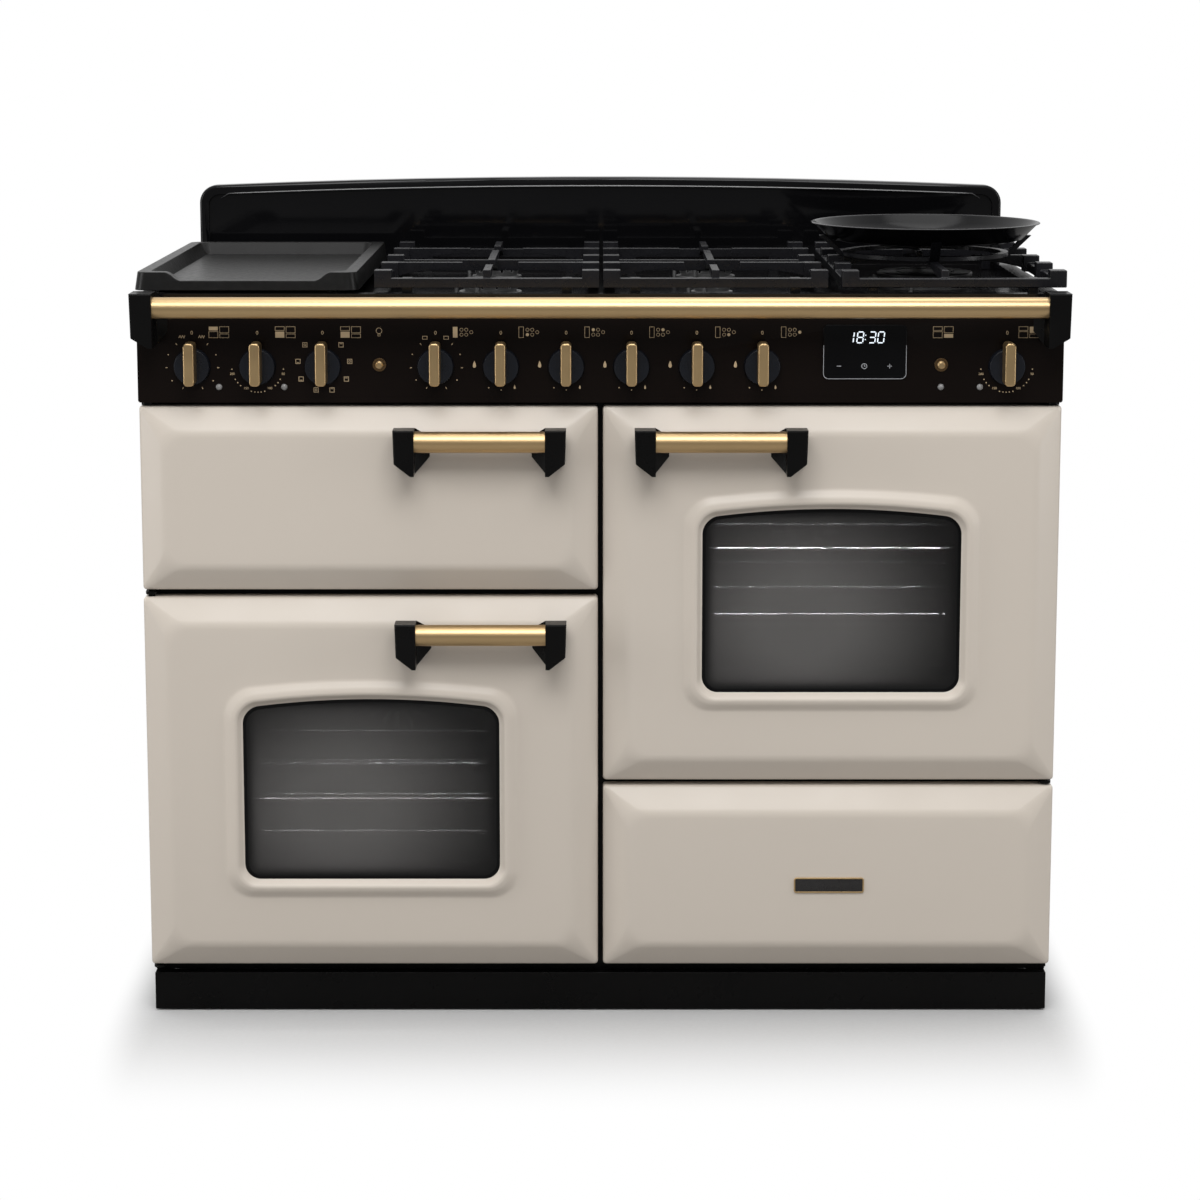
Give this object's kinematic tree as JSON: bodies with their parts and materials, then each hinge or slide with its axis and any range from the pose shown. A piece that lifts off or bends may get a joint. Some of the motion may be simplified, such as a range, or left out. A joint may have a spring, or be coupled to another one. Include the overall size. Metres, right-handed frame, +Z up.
{
  "type": "range cooker",
  "caption": "Free-standing range cooker with side-opening ovens, grill and proving drawer, gas hob with pan supports, griddle and wok, brass rail, knobs and handles.",
  "frame": {"origin": "on the floor, under the middle of the cooker's overall box", "axes": "+X to the cook's right, +Y from the front to the back, +Z up"},
  "size_m": [1.1, 0.65, 0.9849],
  "materials": {
    "cream_paint": "satin",
    "black_enamel": "gloss",
    "fascia_enamel": "gloss",
    "black_casting": "satin",
    "galvanised_steel": "spangled",
    "cast_iron": "matt enamel",
    "wok_steel": "dark oiled",
    "burner_alloy": "cast",
    "brass": "satin lacquered",
    "dark_glass": "tinted",
    "hob_ceramic": "gloss",
    "chromed_wire": "bright",
    "stainless": "satin",
    "seal_rope": "braided",
    "knob_plastic": "gloss",
    "black_plastic": "matt",
    "lamp_plastic": "clear",
    "pipe_alloy": "drawn"
  },
  "bodies": {
    "cabinet": {"side_panels": "black_enamel", "back_panel": "galvanised_steel", "base_frame": "galvanised_steel", "front_frame": "black_enamel", "plinth": "black_enamel", "levelling_feet": "black_plastic", "hob_tray": "black_enamel", "ceramic_zone": "hob_ceramic", "burner_bodies": "burner_alloy", "burner_caps": "black_enamel", "backguard": "black_enamel", "fascia": "fascia_enamel", "clock_module": "black_plastic", "lamps_and_bezels": "lamp_plastic", "control_switches": "black_plastic", "towel_rail": "brass", "rail_brackets": "black_casting", "grill_chamber": "black_enamel", "oven_cavities": "black_enamel", "fan_covers": "black_enamel", "fan_motors": "stainless", "heating_elements": "stainless", "wire_racks": "chromed_wire", "door_seals": "seal_rope", "grill_pan": "black_enamel", "gas_pipework": "pipe_alloy", "terminal_box": "black_plastic"},
    "grill_door": {"grill_door_panel": "cream_paint", "grill_door_liner": "black_enamel", "grill_door_handle": "brass"},
    "left_oven_door": {"left_oven_door_panel": "cream_paint", "left_oven_door_liner": "black_enamel", "left_oven_door_glass": "dark_glass", "left_oven_door_handle": "brass"},
    "right_oven_door": {"right_oven_door_panel": "cream_paint", "right_oven_door_liner": "black_enamel", "right_oven_door_glass": "dark_glass", "right_oven_door_handle": "brass"},
    "proving_drawer": {"drawer_front": "cream_paint", "drawer_tray": "galvanised_steel"},
    "grill_knob": {"grill_knob": "knob_plastic"},
    "left_oven_thermostat_knob": {"left_oven_thermostat_knob": "knob_plastic"},
    "left_oven_function_knob": {"left_oven_function_knob": "knob_plastic"},
    "griddle_knob": {"griddle_knob": "knob_plastic"},
    "gas_tap_knob_1": {"gas_tap_knob_1": "knob_plastic"},
    "gas_tap_knob_2": {"gas_tap_knob_2": "knob_plastic"},
    "gas_tap_knob_3": {"gas_tap_knob_3": "knob_plastic"},
    "gas_tap_knob_4": {"gas_tap_knob_4": "knob_plastic"},
    "gas_tap_knob_5": {"gas_tap_knob_5": "knob_plastic"},
    "right_oven_thermostat_knob": {"right_oven_thermostat_knob": "knob_plastic"},
    "oven_light_button": {"oven_light_button": "brass"},
    "proving_drawer_button": {"proving_drawer_button": "brass"},
    "left_pan_support": {"left_pan_support": "cast_iron"},
    "middle_pan_support": {"middle_pan_support": "cast_iron"},
    "right_pan_support": {"right_pan_support": "cast_iron"},
    "griddle": {"griddle": "cast_iron"},
    "wok_cradle": {"wok_cradle": "cast_iron"},
    "wok": {"wok": "wok_steel"},
    "left_oven_fan": {"left_oven_fan": "stainless"},
    "right_oven_fan": {"right_oven_fan": "stainless"}
  },
  "joints": [
    {"name": "grill_door_hinge", "type": "hinge", "parent": "cabinet", "child": "grill_door", "pos_m": [-0.536, -0.257, 0.6355], "axis": [0, 0, -1], "range_deg": [0, 110]},
    {"name": "left_oven_door_hinge", "type": "hinge", "parent": "cabinet", "child": "left_oven_door", "pos_m": [-0.536, -0.257, 0.289], "axis": [0, 0, -1], "range_deg": [0, 110]},
    {"name": "right_oven_door_hinge", "type": "hinge", "parent": "cabinet", "child": "right_oven_door", "pos_m": [0.536, -0.257, 0.519], "axis": [0, 0, 1], "range_deg": [0, 110]},
    {"name": "proving_drawer_slide", "type": "slide", "parent": "cabinet", "child": "proving_drawer", "axis": [0, -1, 0], "range_m": [0, 0.35]},
    {"name": "grill_spindle", "type": "hinge", "parent": "cabinet", "child": "grill_knob", "pos_m": [-0.4802, -0.271, 0.7934], "axis": [0, 1, 0], "range_deg": [-165, 165]},
    {"name": "left_oven_thermostat_spindle", "type": "hinge", "parent": "cabinet", "child": "left_oven_thermostat_knob", "pos_m": [-0.4034, -0.271, 0.7934], "axis": [0, 1, 0], "range_deg": [0, 290]},
    {"name": "left_oven_function_spindle", "type": "hinge", "parent": "cabinet", "child": "left_oven_function_knob", "pos_m": [-0.3266, -0.271, 0.7934], "axis": [0, 1, 0], "range_deg": [0, 320]},
    {"name": "griddle_spindle", "type": "hinge", "parent": "cabinet", "child": "griddle_knob", "pos_m": [-0.1938, -0.271, 0.7934], "axis": [0, 1, 0], "range_deg": [-165, 165]},
    {"name": "gas_tap_1_spindle", "type": "hinge", "parent": "cabinet", "child": "gas_tap_knob_1", "pos_m": [-0.117, -0.271, 0.7934], "axis": [0, -1, 0], "range_deg": [0, 220]},
    {"name": "gas_tap_2_spindle", "type": "hinge", "parent": "cabinet", "child": "gas_tap_knob_2", "pos_m": [-0.0402, -0.271, 0.7934], "axis": [0, -1, 0], "range_deg": [0, 220]},
    {"name": "gas_tap_3_spindle", "type": "hinge", "parent": "cabinet", "child": "gas_tap_knob_3", "pos_m": [0.0366, -0.271, 0.7934], "axis": [0, -1, 0], "range_deg": [0, 220]},
    {"name": "gas_tap_4_spindle", "type": "hinge", "parent": "cabinet", "child": "gas_tap_knob_4", "pos_m": [0.1134, -0.271, 0.7934], "axis": [0, -1, 0], "range_deg": [0, 220]},
    {"name": "gas_tap_5_spindle", "type": "hinge", "parent": "cabinet", "child": "gas_tap_knob_5", "pos_m": [0.1902, -0.271, 0.7934], "axis": [0, -1, 0], "range_deg": [0, 220]},
    {"name": "right_oven_thermostat_spindle", "type": "hinge", "parent": "cabinet", "child": "right_oven_thermostat_knob", "pos_m": [0.4781, -0.271, 0.7934], "axis": [0, 1, 0], "range_deg": [0, 290]},
    {"name": "oven_light_button_push", "type": "slide", "parent": "cabinet", "child": "oven_light_button", "axis": [0, 1, 0], "range_m": [0, 0.003], "stiffness_N_per_m": 300},
    {"name": "proving_drawer_button_push", "type": "slide", "parent": "cabinet", "child": "proving_drawer_button", "axis": [0, 1, 0], "range_m": [0, 0.003], "stiffness_N_per_m": 300},
    {"name": "left_pan_support_lift", "type": "slide", "parent": "cabinet", "child": "left_pan_support", "axis": [0, 0, 1], "range_m": [0, 0.06]},
    {"name": "middle_pan_support_lift", "type": "slide", "parent": "cabinet", "child": "middle_pan_support", "axis": [0, 0, 1], "range_m": [0, 0.035]},
    {"name": "right_pan_support_lift", "type": "slide", "parent": "cabinet", "child": "right_pan_support", "axis": [0, 0, 1], "range_m": [0, 0.06]},
    {"name": "griddle_lift", "type": "slide", "parent": "cabinet", "child": "griddle", "axis": [0, 0, 1], "range_m": [0, 0.06]},
    {"name": "wok_cradle_lift", "type": "slide", "parent": "right_pan_support", "child": "wok_cradle", "axis": [0, 0, 1], "range_m": [0, 0.05]},
    {"name": "wok_lift", "type": "slide", "parent": "wok_cradle", "child": "wok", "axis": [0, 0, 1], "range_m": [0, 0.1]},
    {"name": "left_oven_fan_spin", "type": "hinge", "parent": "cabinet", "child": "left_oven_fan", "pos_m": [-0.274, 0.185, 0.29], "axis": [0, 1, 0], "continuous": true},
    {"name": "right_oven_fan_spin", "type": "hinge", "parent": "cabinet", "child": "right_oven_fan", "pos_m": [0.274, 0.185, 0.52], "axis": [0, 1, 0], "continuous": true}
  ]
}
